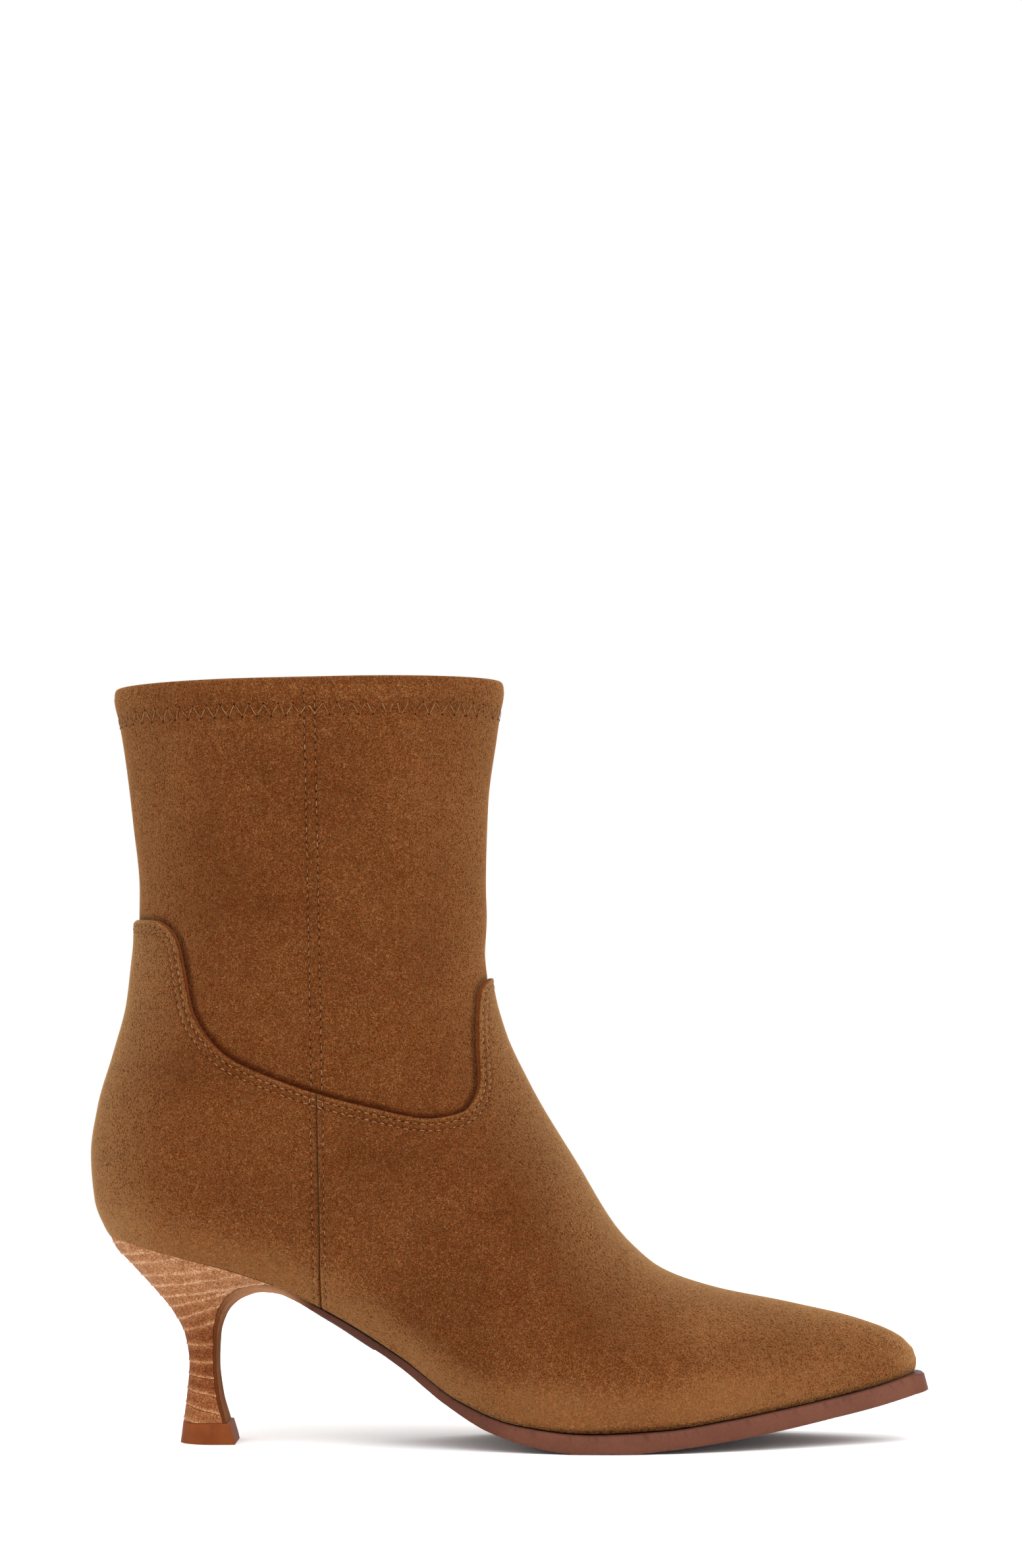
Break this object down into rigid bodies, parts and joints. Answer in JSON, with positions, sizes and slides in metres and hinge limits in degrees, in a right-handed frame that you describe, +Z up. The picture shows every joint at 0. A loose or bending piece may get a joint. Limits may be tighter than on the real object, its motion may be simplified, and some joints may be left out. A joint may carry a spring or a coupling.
{
  "type": "pointed toe bootie",
  "caption": "Pull-on ankle bootie with a pointed snip toe, stretch suede shaft, scalloped vamp and counter, thin leather sole running down the breast of a stacked kitten heel.",
  "frame": {"origin": "middle of the shoe's length and width, on the floor it stands on", "axes": "+X from the heel to the toe, +Y to the inner (big toe) side of the right foot, +Z up"},
  "size_m": [0.252, 0.0789, 0.2284],
  "materials": {
    "shaft_suede": "brown stretch suede with a short mottled nap",
    "panel_suede": "brown suede with a short mottled nap and raw cut edges",
    "insole_leather": "smooth tan lining leather",
    "sole_leather": "smooth reddish brown, edges painted",
    "stacked_leather": "layered light brown with paler lift lines",
    "top_piece_rubber": "amber brown, satin"
  },
  "bodies": {
    "root": {"upper": "shaft_suede", "vamp": "panel_suede", "counter": "panel_suede", "insole": "insole_leather", "outsole": "sole_leather", "heel": "stacked_leather", "top_piece": "top_piece_rubber"}
  },
  "joints": []
}
